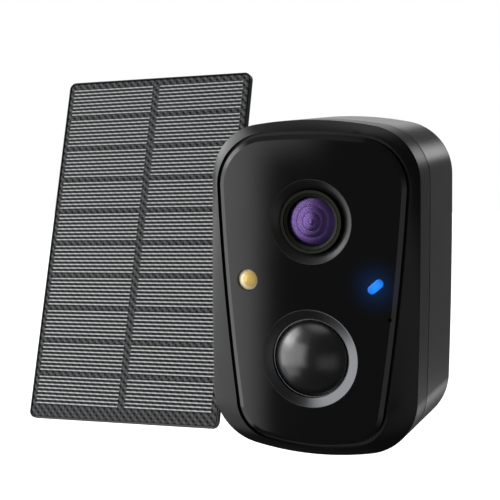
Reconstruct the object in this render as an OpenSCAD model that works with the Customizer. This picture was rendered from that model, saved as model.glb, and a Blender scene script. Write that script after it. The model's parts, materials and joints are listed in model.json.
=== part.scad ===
// Solar-powered security camera: a battery camera and a solar panel on one wall bracket.
// Millimetres. Z is up, the wall is the plane y = 0, and both units face -Y.
// The origin is the centre of the wall plate's back face.

/* [Camera unit] */
// Width of the camera housing
unit_w = 64.6; // [62:0.2:68]
// Height of the camera housing
unit_h = 100; // [98:0.5:104]
// Depth of the camera housing, without the lens and the dome
unit_d = 50; // [49:0.5:54]
// Corner radius at the top of the housing
top_corner_r = 16.5; // [14:0.5:18]
// Corner radius at the bottom of the housing
bottom_corner_r = 17; // [14:0.5:18]
// Depth of the front bezel behind the cover glass plane
bezel_d = 14.5; // [13.5:0.1:15]
// Wall thickness of the bezel and the rear housing
wall = 2.4; // [2:0.1:2.8]

/* [Front] */
// Height of the lens axis above the middle of the housing
lens_z = 20.3; // [19:0.1:21]
// Radius of the recess around the lens
lens_ring_r = 12.6; // [12:0.1:13]
// Height of the motion sensor's axis above the middle of the housing
pir_z = -20.4; // [-21:0.1:-19]
// Radius of the recess around the motion sensor
pir_ring_r = 14.8; // [14:0.1:15.4]
// Radius of the motion sensor's dome
pir_dome_r = 11.1; // [10.5:0.1:11.5]
// Distance of the spotlight and the status light from the middle
light_x = 19.8; // [18.8:0.1:20.4]

/* [Solar panel] */
// Width of the panel
panel_w = 77.6; // [76:0.2:82]
// Height of the panel
panel_h = 130; // [124:1:136]
// Columns of cells
cell_cols = 2; // [1:1:3]
// Rows of cells
cell_rows = 10; // [6:1:12]
// How far the panel leans back at rest, in degrees
panel_recline = 19.3; // [10:0.1:30]
// How far the panel is turned about its stud at rest, in degrees
panel_turn = 3.2; // [0:0.1:6]
// How far the panel is swung away from the camera at rest, in degrees
panel_swing = 4.8; // [0:0.1:10]

/* [Bracket] */
// Radius of the wall plate
plate_r = 33; // [32:0.5:38]
// Pitch circle of the wall screws
plate_pcd = 52; // [50:1:56]
// Distance from the wall to the cover glass of the camera
reach = 137; // [136:1:150]
// Distance between the two swivel axes, across
axis_gap = 87.3; // [84:0.1:96]
// Radius of the 1/4 inch stud that each unit is screwed to
stud_r = 3.1; // [3.05:0.01:3.15]

/* [Hidden] */
$fn = 48;
slack = 0.05;        // running fit between a pin and its bore
gap = 0.3;           // clearance between parts that move past each other
plate_t = 5;
cam_x = 46;          // the camera's middle, across
panel_x = cam_x - axis_gap;

// hinge clamps
knuckle_r = 7;
knuckle_h = 4.9;     // half width of a knuckle
ear_in = knuckle_h + gap;
ear_out = ear_in + 4;
bolt_r = 2.5;
thread_r = 2;
axis_step = 18;      // from the swivel's upright axis to its level axis
flange_at = 8;       // from the level axis to the back of the head's flange
flange_t = 3;
flange_r = 11;
ring_t = 4;          // lock ring
stud_l = 5;          // the stud above its lock ring
seat = flange_at + flange_t + ring_t + 2 * gap;   // level axis to the unit's back
cam_axis_y = unit_d + seat + axis_step - reach;   // the camera's upright axis
panel_axis_y = cam_axis_y + 32.5;                 // the panel's upright axis
foot_x = 15;
foot_w = 22;
arm_w = 12;

// front of the camera
glass_t = 2;
tape_t = 0.3;
floor_t = 1.7;
groove = 0.8;
chamfer = 1.3;
face_y = 2.8;        // where the sloping face of the bezel meets its side
floor_y = glass_t + tape_t;
ring_depth = 1.5;
light_z = 2.2;
mic = [24.3, -7.3];
spot_r = 3.1;
pill_l = 5.4;
pill_w = 2.5;
pill_tilt = 42;
barrel_r = 9.4;
barrel_y = 0.9;

// boards and the battery
led_board_y = 8.6;
led_board_t = 1.2;
board_y = 24;
board_t = 1.4;
board_w = 52;
board_top = 41;
board_bottom = -39.5;
post = [20.5, 38.3];
post_r = 3;
cell_r = 9.2;
cell_x = 17.9;
cell_y = 37.4;
cell_len = 65;
cell_z = 1.5;
cell_lo = cell_z - cell_len / 2;
cell_hi = cell_z + cell_len / 2;
insert_r = 4.5;
insert_l = 9;

// bottom ports
port_w = 38;
port_y0 = 18.5;
port_y1 = 33.5;
port_floor = -46;
port_inner = -43.8;
port_mid = (port_y0 + port_y1) / 2;
button_x = [8.8, 13.4];
button_r = 1.5;
card_x = -1.2;
card_w = 11;
card_y = 22.4;
usb_x = -13;
hinge_x = port_w / 2 - 1.6;
hinge_z = port_floor - 1.3;
hinge_r = 0.7;
hinge_play = 0.15;
web_l = 3.8;

// panel
panel_t = 6;
panel_boss_t = 3.4;
panel_rim = 0.7;
panel_corner = 2.6;
sheet_t = 0.6;
cell_t = 0.3;
margin_l = 2.4;
margin_r = 2.9;
margin_top = 2.7;
margin_bottom = 5;
mid_gap = 3;
row_gap = 1.3;
panel_stud_z = 7.6;  // the stud is this far above the middle of the panel
sheet_y = 0.35;
panel_cell_y = sheet_y + sheet_t + 0.05;
panel_board_y = panel_cell_y + cell_t + 0.3;
panel_board_t = 0.8;
panel_edge = 2.4;     // depth of the straight part of the shell's edge
panel_bevel = 2.6;    // how far the edge then draws in towards the back
shell_floor = 3.5;    // front of the screw holes in the shell

// ---------------------------------------------------------------- outlines

function arc(c, r, a0, a1, n) =
    [for (i = [0:n]) let (a = a0 + (a1 - a0) * i / n) c + r * [cos(a), sin(a)]];

// the points between p and q on an arc that bulges to the right by a half angle
function bulge(p, q, half, n) =
    let (
        d = q - p,
        r = norm(d) / 2 / sin(half),
        c = (p + q) / 2 - [d[1], -d[0]] / norm(d) * r * cos(half),
        a0 = atan2(p[1] - c[1], p[0] - c[0])
    )
    [for (i = [1:n - 1]) let (a = a0 + 2 * half * i / n) c + r * [cos(a), sin(a)]];

function flip(points) = [for (i = [len(points) - 1:-1:0]) [-points[i][0], points[i][1]]];

// A closed shield outline: corner centres at the top and at the bottom, their radii,
// and the half angles by which the side, the top and the bottom bulge.
function shield(top, bottom, r_top, r_bottom, side, crown, sole) =
    let (
        lean = atan2(bottom[0] - top[0], top[1] - bottom[1]),
        low = arc(bottom, r_bottom, sole - 90, lean - side, 12),
        high = arc(top, r_top, lean + side, 90 - crown, 12),
        right = concat(low, bulge(low[12], high[0], side, 6), high),
        left = flip(right)
    )
    concat(right, bulge(high[12], left[0], crown, 10), left,
           bulge(left[len(left) - 1], right[0], sole, 10));

side_bulge = 1;
crown_bulge = 10;
sole_bulge = 11.5;
top_c = [unit_w / 2 - top_corner_r - 0.28, unit_h / 2 - top_corner_r - 1.37];
bottom_c = [unit_w / 2 - bottom_corner_r - 0.28, 1.5 + bottom_corner_r - unit_h / 2];

module body_2d(inset = 0)
    polygon(shield(top_c, bottom_c, top_corner_r - inset, bottom_corner_r - inset,
                   side_bulge, crown_bulge, sole_bulge));

glass_top = [13.8, 30.2];
glass_bottom = [11.8, -34.35];

module glass_2d(grow = 0)
    polygon(shield(glass_top, glass_bottom, 14.8 + grow, 10.7 + grow, 2.5, 5.8, 12.4));

module rounded_2d(w, h, r) {
    square([w - 2 * r, h], center = true);
    square([w, h - 2 * r], center = true);
    for (x = [-1, 1], z = [-1, 1])
        translate([x * (w / 2 - r), z * (h / 2 - r)]) circle(r);
}

// ---------------------------------------------------------------- solids

// raises an outline drawn in X and Z from y0 back to y1
module slab(y0, y1)
    translate([0, y1, 0]) rotate([90, 0, 0]) linear_extrude(y1 - y0) children();

module rod(r, y0, y1)
    translate([0, y1, 0]) rotate([90, 0, 0]) cylinder(h = y1 - y0, r = r);

module rod_x(r, x0, x1)
    translate([x0, 0, 0]) rotate([0, 90, 0]) cylinder(h = x1 - x0, r = r);

module rod_z(r, z0, z1)
    translate([0, 0, z0]) cylinder(h = z1 - z0, r = r);

// turns a profile of [radius, y] pairs about the Y axis
module turned(profile)
    rotate([-90, 0, 0]) rotate_extrude() polygon(profile);

module box(low, high)
    translate(low) cube(high - low);

module at(x, z) translate([x, 0, z]) children();

module four_posts()
    for (x = [-1, 1], z = [-1, 1]) at(x * post[0], z * post[1]) children();

// ---------------------------------------------------------------- frames

module camera_swivel_frame() translate([cam_x, cam_axis_y, 0]) children();

module camera_tilt_frame() camera_swivel_frame() translate([0, -axis_step, 0]) children();

module camera_frame() translate([cam_x, -reach, 0]) children();

module panel_swivel_frame()
    translate([panel_x, panel_axis_y, 0]) rotate([0, 0, -panel_swing]) children();

module panel_tilt_frame()
    panel_swivel_frame() translate([0, -axis_step, 0]) rotate([-panel_recline, 0, 0]) children();

module panel_frame()
    panel_tilt_frame() rotate([0, -panel_turn, 0])
        translate([0, -seat - panel_t - panel_boss_t, -panel_stud_z]) children();

// ---------------------------------------------------------------- camera front

module pill_2d(grow = 0)
    translate([light_x, light_z]) rotate(pill_tilt) {
        square([pill_l - pill_w, pill_w + 2 * grow], center = true);
        for (s = [-1, 1]) translate([s * (pill_l - pill_w) / 2, 0]) circle(pill_w / 2 + grow);
    }

module front_openings(grow) {
    at(0, lens_z) rod(lens_ring_r + grow, -3, 6);
    at(0, pir_z) rod(pir_ring_r + grow, -3, 6);
    at(-light_x, light_z) rod(spot_r + 0.25 + grow, -3, 6);
    slab(-3, 6) pill_2d(0.1 + grow);
    at(mic[0], mic[1]) rod(0.6, -3, 6);
}

module front_bezel()
    camera_frame() color("#232324") difference() {
        union() {
            hull() {
                slab(0.7, 0.8) glass_2d(groove);
                slab(face_y, face_y + 0.1) body_2d();
            }
            slab(face_y, bezel_d) body_2d();
        }
        slab(-1, floor_y) glass_2d(groove);
        difference() {
            slab(floor_y + floor_t, bezel_d + 1) body_2d(wall);
            four_posts() rod(post_r, floor_y, bezel_d);
        }
        front_openings(0.1);
        four_posts() rod(1.1, 6, bezel_d + 1);
        difference() {
            slab(bezel_d - 0.8, bezel_d + 1) body_2d(0.8);
            slab(bezel_d - 1, bezel_d + 1) body_2d(1.7);
        }
    }

module front_glass()
    camera_frame() color("#0d0d0f") difference() {
        union() {
            hull() {
                slab(0, 0.01) glass_2d(-chamfer);
                slab(0.6, 0.61) glass_2d();
            }
            slab(0.6, glass_t) glass_2d();
        }
        front_openings(0);
    }

module glass_tape()
    camera_frame() color("#101010") difference() {
        slab(glass_t, floor_y) glass_2d(-0.2);
        slab(glass_t - 1, floor_y + 1) glass_2d(-1.6);
    }

module lens_trim_ring()
    camera_frame() color("#1c1c1d") at(0, lens_z)
        turned([[lens_ring_r - 0.05, 0], [lens_ring_r - 0.35, 0], [barrel_r + 0.35, ring_depth],
                [barrel_r + 0.35, floor_y + floor_t], [lens_ring_r - 0.05, floor_y + floor_t]]);

module pir_trim_ring()
    camera_frame() color("#8d8e90") at(0, pir_z)
        turned([[pir_ring_r - 0.05, 0], [pir_ring_r - 0.35, 0], [pir_dome_r + 0.25, ring_depth],
                [pir_dome_r + 0.25, 3], [pir_ring_r - 0.6, 3], [pir_ring_r - 0.05, 3]]);

module lens_barrel()
    camera_frame() color("#2a2b29") at(0, lens_z)
        turned([[barrel_r, barrel_y], [8.9, barrel_y], [8.5, 1.6], [8.5, 2.2], [7.2, 2.4],
                [7.2, 5.6], [4.3, 5.6], [4.3, 17], [3.2, 17.6], [3.2, 18.6], [5.95, 18.6],
                [5.95, 10.2], [barrel_r, 10.2]]);

module front_lens()
    camera_frame() color("#2b1d4e") at(0, lens_z) difference() {
        intersection() {
            translate([0, 12.4, 0]) sphere(r = 11, $fn = 96);
            rod(7.15, 1, 5.2);
        }
        translate([0, 8.6, 0]) sphere(r = 5.2, $fn = 64);
    }

module inner_lenses()
    camera_frame() color("#334a5c") at(0, lens_z)
        for (s = [[7.6, 9], [11.2, 6.5], [14.8, 8]])
            intersection() {
                translate([0, s[0] + s[1] - 1.2, 0]) sphere(r = s[1], $fn = 128);
                translate([0, s[0] - s[1] + 1.2, 0]) sphere(r = s[1], $fn = 128);
                rod(4.25, s[0] - 1.3, s[0] + 1.3, $fn = 96);
            }

module lens_holder()
    camera_frame() color("#18181a") at(0, lens_z) difference() {
        union() {
            rod(7.6, 11, 19);
            box([-12, 18.6, -8], [12, board_y - 0.1, 8]);
        }
        rod(6, 10, 18.7);
        rod(3.4, 18, 21);
        box([-13, 19.4, -5], [13, 21, 5]);
        box([-5.2, 20.9, -5.2], [5.2, board_y, 5.2]);
    }

module filter_carriage()
    camera_frame() color("#3a3b3d") at(0, lens_z) difference() {
        box([-4.5, 19.7, -4.7], [11.5, 20.7, 4.7]);
        rod(3, 19, 21);
        at(7, 0) rod(3, 19, 21);
    }

module filter_glass()
    camera_frame() color("#a04a6a") at(0, lens_z)
        for (x = [0, 7]) at(x, 0) rod(2.95, 19.9, 20.5);

module image_sensor()
    camera_frame() color("#30404a") at(0, lens_z)
        box([-4.6, board_y - 1.6, -4.6], [4.6, board_y - 0.1, 4.6]);

module main_board()
    camera_frame() color("#1f5a36") difference() {
        box([-board_w / 2, board_y, board_bottom], [board_w / 2, board_y + board_t, board_top]);
        four_posts() rod(post_r + 0.4, board_y - 1, board_y + board_t + 1);
        for (x = [-23.4, 23.4], z = [-18, 22]) at(x, z) rod(1.1, 20, 30);
    }

module processor()
    camera_frame() color("#b9bcc0")
        box([-14, board_y - 2.6, -22], [4, board_y - 0.1, -4]);

module wifi_module()
    camera_frame() color("#c4c6c9")
        box([9, board_y - 2.4, -16], [21, board_y - 0.1, 2]);

module wifi_antenna()
    camera_frame() color("#c9a24a")
        box([-15, 17, 45.2], [15, 24, 45.6]);

module led_board()
    camera_frame() color("#14301f") difference() {
        slab(led_board_y, led_board_y + led_board_t) body_2d(wall + 0.5);
        at(0, lens_z) rod(barrel_r + 0.4, 0, 12);
        four_posts() rod(post_r + 0.3, 0, 12);
        box([-40, 0, -60], [40, 12, -41]);
    }

module spotlight_lens()
    camera_frame() color("#efe6c4") at(-light_x, light_z)
        turned([[0, 0.25], [1.3, 0.4], [2.3, 0.75], [spot_r, 1.5], [spot_r, 4],
                [2.2, led_board_y - 1.3], [0, led_board_y - 1.3]]);

module light_emitters()
    camera_frame() {
        color("#e8b33a") at(-light_x, light_z)
            box([-1.8, led_board_y - 1.2, -1.8], [1.8, led_board_y - 0.05, 1.8]);
        color("#9fc4ff") at(light_x, light_z)
            box([-1.2, led_board_y - 1.2, -0.8], [1.2, led_board_y - 0.05, 0.8]);
        color("#6a5a5a") for (x = [-18, 18]) at(x, lens_z + 6)
            box([-1.8, led_board_y - 1.9, -1.8], [1.8, led_board_y - 0.05, 1.8]);
    }

module status_light_pipe()
    camera_frame() color("#1f7cff") slab(0.05, led_board_y - 1.3) pill_2d();

module microphone()
    camera_frame() color("#4a4a4c") at(mic[0], mic[1])
        difference() {
            rod(2, floor_y + floor_t + 0.1, led_board_y - 0.05);
            rod(0.5, floor_y, led_board_y - 1);
        }

dome_h = 5.6;
dome_base = 1.4;
dome_sphere = (pir_dome_r * pir_dome_r + dome_h * dome_h) / 2 / dome_h;

module pir_lens()
    camera_frame() color("#3b3b3e") at(0, pir_z) difference() {
        union() {
            intersection() {
                translate([0, dome_base - dome_h + dome_sphere, 0]) sphere(r = dome_sphere, $fn = 96);
                rod(pir_dome_r, dome_base - dome_h - 1, dome_base);
            }
            rod(pir_dome_r, dome_base, 4.8);
            rod(13.4, 3.1, floor_y + floor_t + 0.8);
        }
        intersection() {
            translate([0, dome_base - dome_h + dome_sphere, 0]) sphere(r = dome_sphere - 1, $fn = 96);
            rod(pir_dome_r - 1, -20, dome_base);
        }
        rod(pir_dome_r - 1, dome_base - 0.01, 6);
    }

module pir_sensor()
    camera_frame() color("#b5b7ba") at(0, pir_z) difference() {
        union() {
            rod(4.1, 4.6, led_board_y - 0.05);
            rod(4.6, led_board_y - 0.7, led_board_y - 0.05);
        }
        box([-2, 4, -1.5], [2, 4.9, 1.5]);
    }

// ---------------------------------------------------------------- camera body

module seal_ring()
    camera_frame() color("#111111") difference() {
        slab(bezel_d - 0.75, bezel_d + 0.75) body_2d(0.85);
        slab(bezel_d - 1, bezel_d + 1) body_2d(1.65);
    }

rear_r = 7;

module rear_shape() {
    slab(bezel_d + 0.05, unit_d - rear_r) body_2d();
    hull()
        for (a = [0:15:90])
            slab(unit_d - rear_r - 0.01 + rear_r * sin(a) * 0.998,
                 unit_d - rear_r + rear_r * sin(a))
                body_2d(rear_r * (1 - cos(a)));
}

module rear_housing()
    camera_frame() color("#1b1b1c") difference() {
        rear_shape();
        difference() {
            slab(bezel_d - 1, unit_d - wall - 0.6) body_2d(wall);
            four_posts() rod(post_r, bezel_d, unit_d);
            rod(insert_r + 3.2, unit_d - insert_l - 1.6, unit_d);
            box([-port_w / 2 - 1.6, port_y0 - 1.6, -60], [port_w / 2 + 1.6, port_y1 + 1.6, port_inner]);
            box([-port_w / 2 - 1.6, port_y1, -60], [port_w / 2 + 1.6, port_y1 + 3.4, port_inner]);
        }
        // the seal's groove
        difference() {
            slab(bezel_d - 1, bezel_d + 0.8) body_2d(0.8);
            slab(bezel_d - 1, bezel_d + 0.9) body_2d(1.7);
        }
        // bore of the brass insert
        rod(insert_r + 0.02, unit_d - insert_l, unit_d + 1);
        // screws
        four_posts() {
            rod(1.5, bezel_d - 1, unit_d + 1);
            rod(2.6, 42, unit_d + 1);
        }
        // recess of the port cover, and the holes in its floor
        box([-port_w / 2, port_y0, -60], [port_w / 2, port_y1, port_floor]);
        box([usb_x - 4.7, board_y - 3.7, -60], [usb_x + 4.7, board_y + 0.1, port_inner + 1]);
        box([card_x - 5.8, card_y - 0.8, -60], [card_x + 5.8, card_y + 0.8, port_inner + 1]);
        for (x = button_x) translate([x, port_mid - 2, 0]) rod_z(button_r + gap, -60, port_inner + 1);
        // hinge bar of the port cover
        at(hinge_x, hinge_z) rod(hinge_r + hinge_play, port_y0 - 1.1, port_y1 + 1.1);
        // speaker slots in the left wall
        for (z = [-12:3:0]) translate([0, 19, z]) rod_x(0.7, -40, -28);
    }

module battery_cells()
    camera_frame() color("#2f6aa8")
        for (s = [-1, 1]) translate([s * cell_x, cell_y, 0]) {
            rod_z(cell_r - 0.1, cell_lo, cell_hi);
            rod_z(3, cell_hi, cell_hi + 1);
        }

module battery_tray()
    camera_frame() color("#2a2a2c") difference() {
        union() {
            box([-25, board_y + board_t + 1, cell_lo - 1.6], [25, 28, cell_hi + 1.6]);
            for (s = [-1, 1], z = [cell_lo - 1.4, cell_hi + 1.4])
                box([s * cell_x - 6, 27, z - 0.9], [s * cell_x + 6, 38, z + 0.9]);
        }
        for (z = [-18, 22]) box([-5, 20, z - 9], [5, 30, z + 9]);
        for (s = [-1, 1]) translate([s * cell_x, cell_y, 0]) {
            rod_z(cell_r, cell_lo - 0.5, cell_hi + 0.6);
            rod_z(3.1, cell_hi - 5, cell_hi + 1.2);
        }
        four_posts() rod(post_r + gap, 20, 45);
    }

module speaker()
    camera_frame() color("#3c3c3e")
        box([-29.4, 15.6, -16], [-26.6, 22.4, 4]);

module usb_port()
    camera_frame() color("#c8cacd") difference() {
        box([usb_x - 4.5, board_y - 3.4, -45.6], [usb_x + 4.5, board_y - 0.1, -38]);
        box([usb_x - 4.1, board_y - 3, -46], [usb_x + 4.1, board_y - 0.5, -39]);
    }

module card_slot()
    camera_frame() color("#bfc1c4") difference() {
        box([card_x - 7, card_y - 1.2, -43.4], [card_x + 7, board_y - 0.1, -28]);
        box([card_x - 5.7, card_y - 0.6, -44], [card_x + 5.7, card_y + 0.6, -29]);
    }

module memory_card()
    camera_frame() color("#18181a")
        box([card_x - card_w / 2, card_y - 0.35, -45], [card_x + card_w / 2, card_y + 0.35, -30]);

module button_piece(x)
    translate([x, port_mid - 2, 0]) {
        rod_z(button_r, -46.8, -43.4);
        rod_z(button_r + 0.7, -43.4, -42.4);
    }

module reset_button()
    camera_frame() color("#c8402e") button_piece(button_x[0]);

module power_button()
    camera_frame() color("#d8d8d8") button_piece(button_x[1]);

cover_top = port_floor - 1.1;

module port_cover()
    camera_frame() color("#161616") {
        difference() {
            intersection() {
                slab(port_y0 + gap, port_y1 - gap) body_2d();
                box([gap - port_w / 2, port_y0, -52], [hinge_x, port_y1, cover_top]);
            }
            // thin web beside the hinge, so that the lid folds past the recess wall
            box([hinge_x - web_l, port_y0 - 1, -60], [hinge_x + 1, port_y1 + 1, hinge_z - hinge_r]);
        }
        // pull tab
        box([2 - port_w / 2, port_y0 + 5, -51.6], [7 - port_w / 2, port_y0 + 10, -48]);
        // knuckle and hinge pin
        at(hinge_x, hinge_z) {
            rod(1, port_y0 + gap, port_y1 - gap);
            rod(hinge_r, port_y0 - 1, port_y1 + 1);
        }
    }

module insert_piece(l)
    difference() {
        rod(insert_r, -l, -0.2);
        rod(stud_r + slack, -l - 1, 1);
    }

module camera_insert()
    camera_frame() color("#b08d3e") translate([0, unit_d, 0]) insert_piece(insert_l);

module housing_screws()
    camera_frame() color("#3a3a3c") four_posts() {
        difference() {
            rod(2.5, 42.05, 44.4);
            rod(0.9, 43.2, 45);
        }
        rod(1.08, 7, 42.05);
    }

// ---------------------------------------------------------------- solar panel

module panel_outline(inset = 0)
    rounded_2d(panel_w - 2 * inset, panel_h - 2 * inset, panel_corner - min(inset, 1.6));

module panel_sheet()
    panel_frame() color("#3a3b3d")
        slab(sheet_y, sheet_y + sheet_t) panel_outline(panel_rim);

cells_w = panel_w - margin_l - margin_r;
cells_h = panel_h - margin_top - margin_bottom;
cell_w = (cells_w - (cell_cols - 1) * mid_gap) / cell_cols;
cell_h = (cells_h - (cell_rows - 1) * row_gap) / cell_rows;

module solar_cells()
    panel_frame() color("#1b1e26")
        for (i = [0:cell_cols - 1], j = [0:cell_rows - 1])
            translate([margin_l - panel_w / 2 + i * (cell_w + mid_gap), panel_cell_y,
                       margin_bottom - panel_h / 2 + j * (cell_h + row_gap)])
                cube([cell_w, cell_t, cell_h]);

module panel_board()
    panel_frame() color("#20242a")
        slab(panel_board_y, panel_board_y + panel_board_t) panel_outline(panel_rim + 0.1);

junction = [-17, -40];    // middle of the junction box, across and up
junction_w = 40;
junction_h = 22;
junction_d = 9;

module panel_shell()
    panel_frame() color("#141415") difference() {
        union() {
            slab(0.4, panel_edge) panel_outline();
            hull() {
                slab(panel_edge - 0.01, panel_edge) panel_outline();
                slab(panel_t - 0.01, panel_t) panel_outline(panel_bevel);
            }
            slab(0, 0.45) panel_outline(0.4);
            at(0, panel_stud_z) rod(11, panel_t - 1, panel_t + panel_boss_t);
            at(0, panel_stud_z) for (a = [45:90:315]) rotate([0, a, 0])
                box([-1, panel_t - 1, 9], [1, panel_t + 1.6, 20]);
        }
        slab(-1, panel_board_y + panel_board_t + 0.2) panel_outline(panel_rim - 0.1);
        at(0, panel_stud_z) rod(insert_r + 0.02, 3.9, 20);
        at(junction[0], junction[1]) rod(2.5, 0, 10);
        for (x = [-1, 1], z = [-1, 0, 1]) at(x * 33, z * 58) {
            rod(1.1, shell_floor, 10);
            rod(2.1, 5, 10);
        }
        for (x = [-1, 1]) at(junction[0] + x * 16, junction[1]) rod(0.9, 3.9, 10);
    }

module junction_box()
    panel_frame() color("#1a1a1b") at(junction[0], junction[1]) difference() {
        slab(panel_t + 0.05, panel_t + junction_d) rounded_2d(junction_w, junction_h, 3);
        slab(panel_t - 1, panel_t + junction_d - 1.6) rounded_2d(junction_w - 10, junction_h - 4, 2);
        translate([0, panel_t + 4.6, 0]) rod_z(2.6, -junction_h, -junction_h / 2 + 4);
        for (x = [-1, 1]) at(x * 16, 0) {
            rod(1.2, 0, 30);
            rod(2.2, panel_t + 6.5, 30);
        }
    }

module cable_gland()
    panel_frame() color("#232325") translate([junction[0], panel_t + 4.6, junction[1] - junction_h / 2])
        difference() {
            union() {
                rod_z(2.55, -0.1, 2.4);
                rod_z(3.8, -5, -0.1);
                translate([0, 0, -9]) cylinder(h = 4, r1 = 2.6, r2 = 3.4);
            }
            rod_z(1.5, -10, 3);
        }

module panel_insert()
    panel_frame() color("#b08d3e") at(0, panel_stud_z) difference() {
        rod(insert_r, 4, panel_t + panel_boss_t - 0.2);
        rod(stud_r + slack, 3, 20);
    }

module panel_screws()
    panel_frame() color("#46474a") {
        for (x = [-1, 1], z = [-1, 0, 1]) at(x * 33, z * 58)
            difference() {
                union() {
                    rod(2, 5.02, 5.9);
                    rod(1.05, shell_floor + 0.05, 5.1);
                }
                rod(0.7, 5.4, 6);
            }
        for (x = [-1, 1]) at(junction[0] + x * 16, junction[1])
            difference() {
                union() {
                    rod(2, panel_t + 6.55, panel_t + 8.2);
                    rod(0.85, 4, panel_t + 6.6);
                }
                rod(0.8, panel_t + 7.4, panel_t + 9);
            }
    }

// ---------------------------------------------------------------- bracket

// heads towards the wall, in the foot of an arm
module foot_screws_at(r, y0, y1)
    for (x = [-foot_x, foot_x], z = [-5, 5]) at(x, z) rod(r, y0, y1);

module wall_plate()
    color("#1d1d1e") difference() {
        union() {
            rod(plate_r, -3.2, 0);
            rod(plate_r - 1.6, -plate_t, -3);
        }
        for (a = [45:90:315]) rotate([0, a, 0]) at(plate_pcd / 2, 0) {
            rod(2.25, -10, 1);
            rotate([-90, 0, 0]) translate([0, 0, -plate_t - 0.01]) cylinder(h = 2.3, r1 = 4.5, r2 = 2.25);
        }
        foot_screws_at(1.6, -10, 1);
        foot_screws_at(3, -2, 1);
    }

// An arm from its foot on the plate to two ears around the upright swivel axis.
module arm(axis, foot) {
    root = [foot, -plate_t - 2];
    run = axis - root;
    side = [-run[1], run[0]] / norm(run) * arm_w / 2;
    lean = atan2(run[0], -run[1]);
    difference() {
        union() {
            box([foot - foot_w / 2, -plate_t - 4, -ear_out], [foot + foot_w / 2, -plate_t - 0.05, ear_out]);
            translate([0, 0, -ear_out]) linear_extrude(2 * ear_out)
                polygon([axis + side, axis - side, root - [arm_w * 0.7, 0], root + [arm_w * 0.7, 0]]);
            translate(axis) rod_z(knuckle_r, -ear_out, ear_out);
        }
        // room for the swivel's knuckle
        translate([axis[0], axis[1], -ear_in]) rotate(lean) linear_extrude(2 * ear_in) {
            circle(knuckle_r + 1.6);
            translate([-20, -20]) square([40, 17]);
        }
        translate(axis) rod_z(bolt_r + slack, -30, 30);
        for (z = [-5, 5]) at(foot, z) rod(1.25, -plate_t - 3.4, 0);
    }
}

module camera_arm()
    color("#1f1f20") arm([cam_x, cam_axis_y], foot_x);

module panel_arm()
    color("#1f1f20") arm([panel_x, panel_axis_y], -foot_x);

// Bolt along Z with its head below and a thumb knob's thread above
module clamp_bolt() {
    difference() {
        rod_z(4.2, -ear_out - 2.8, -ear_out - 0.02);
        translate([0, 0, -ear_out - 3]) cylinder(h = 1.8, r = 1.9, $fn = 6);
    }
    rod_z(bolt_r, -ear_out - 0.1, ear_out);
    rod_z(thread_r, ear_out - 0.1, ear_out + 7);
}

module thumb_knob()
    translate([0, 0, ear_out + gap]) difference() {
        union() {
            cylinder(h = 7.5, r = 6.4);
            for (a = [0:60:300]) rotate(a) translate([5.6, 0, 0]) cylinder(h = 7.5, r = 1.9);
        }
        rod_z(thread_r + slack, -1, 7);
        translate([0, 0, 6.8]) cylinder(h = 1, r = 4.4);
    }

module bracket_bolts()
    color("#7c7d80") {
        camera_swivel_frame() clamp_bolt();
        panel_swivel_frame() clamp_bolt();
        for (x = [-foot_x, foot_x], z = [-5, 5]) at(x, z) difference() {
            union() {
                rod(2.8, -1.95, -0.2);
                rod(1.2, -plate_t - 3.2, -1.9);
            }
            rod(1, -1, 0);
        }
    }

module pan_knob_camera()
    color("#1c1c1d") camera_swivel_frame() thumb_knob();

module pan_knob_panel()
    color("#1c1c1d") panel_swivel_frame() thumb_knob();

// Cross block: an upright knuckle behind, and two ears around the level axis in front.
module swivel() difference() {
    web_y0 = -axis_step + knuckle_r + gap;
    web_y1 = -knuckle_r - gap;
    union() {
        rod_z(knuckle_r, -knuckle_h, knuckle_h);
        box([-5.5, web_y1 - 1, -knuckle_h], [5.5, 0, knuckle_h]);
        box([-ear_out, web_y0, -8], [ear_out, web_y1, 8]);
        for (x0 = [-ear_out, ear_in]) {
            translate([0, -axis_step, 0]) rod_x(knuckle_r, x0, x0 + 4);
            box([x0, -axis_step, -knuckle_r], [x0 + 4, web_y0 + 1, knuckle_r]);
        }
    }
    rod_z(bolt_r + slack, -20, 20);
    translate([0, -axis_step, 0]) rod_x(bolt_r + slack, -20, 20);
}

module head() difference() {
    union() {
        rod_x(knuckle_r, -knuckle_h, knuckle_h);
        box([-knuckle_h, -flange_at - 1, -knuckle_h], [knuckle_h, 0, knuckle_h]);
        rod(flange_r, -flange_at - flange_t, -flange_at);
        rod(stud_r, -seat - stud_l, -flange_at);
    }
    rod_x(bolt_r + slack, -20, 20);
}

module lock_ring() difference() {
    union() {
        rod(9, -ring_t, 0);
        for (a = [0:30:330]) rotate([0, a, 0]) at(8.6, 0) rod(1.1, -ring_t, 0);
    }
    rod(stud_r + slack, -20, 10);
}

module camera_swivel()
    color("#222223") camera_swivel_frame() swivel();

module panel_swivel()
    color("#222223") panel_swivel_frame() swivel();

module tilt_bolt() rotate([0, 90, 0]) clamp_bolt();

module tilt_knob() rotate([0, 90, 0]) thumb_knob();

module camera_tilt_bolt()
    color("#7c7d80") camera_tilt_frame() tilt_bolt();

module camera_tilt_knob()
    color("#1c1c1d") camera_tilt_frame() tilt_knob();

module camera_head()
    color("#252526") camera_tilt_frame() head();

module camera_lock_ring()
    color("#1c1c1d") camera_tilt_frame() translate([0, -flange_at - flange_t - gap, 0]) lock_ring();

module panel_tilt_bolt()
    color("#7c7d80") panel_tilt_frame() rotate([panel_recline, 0, 0]) tilt_bolt();

module panel_tilt_knob()
    color("#1c1c1d") panel_tilt_frame() tilt_knob();

module panel_head()
    color("#252526") panel_tilt_frame() head();

module panel_lock_ring()
    color("#1c1c1d") panel_tilt_frame() translate([0, -flange_at - flange_t - gap, 0]) lock_ring();

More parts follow.
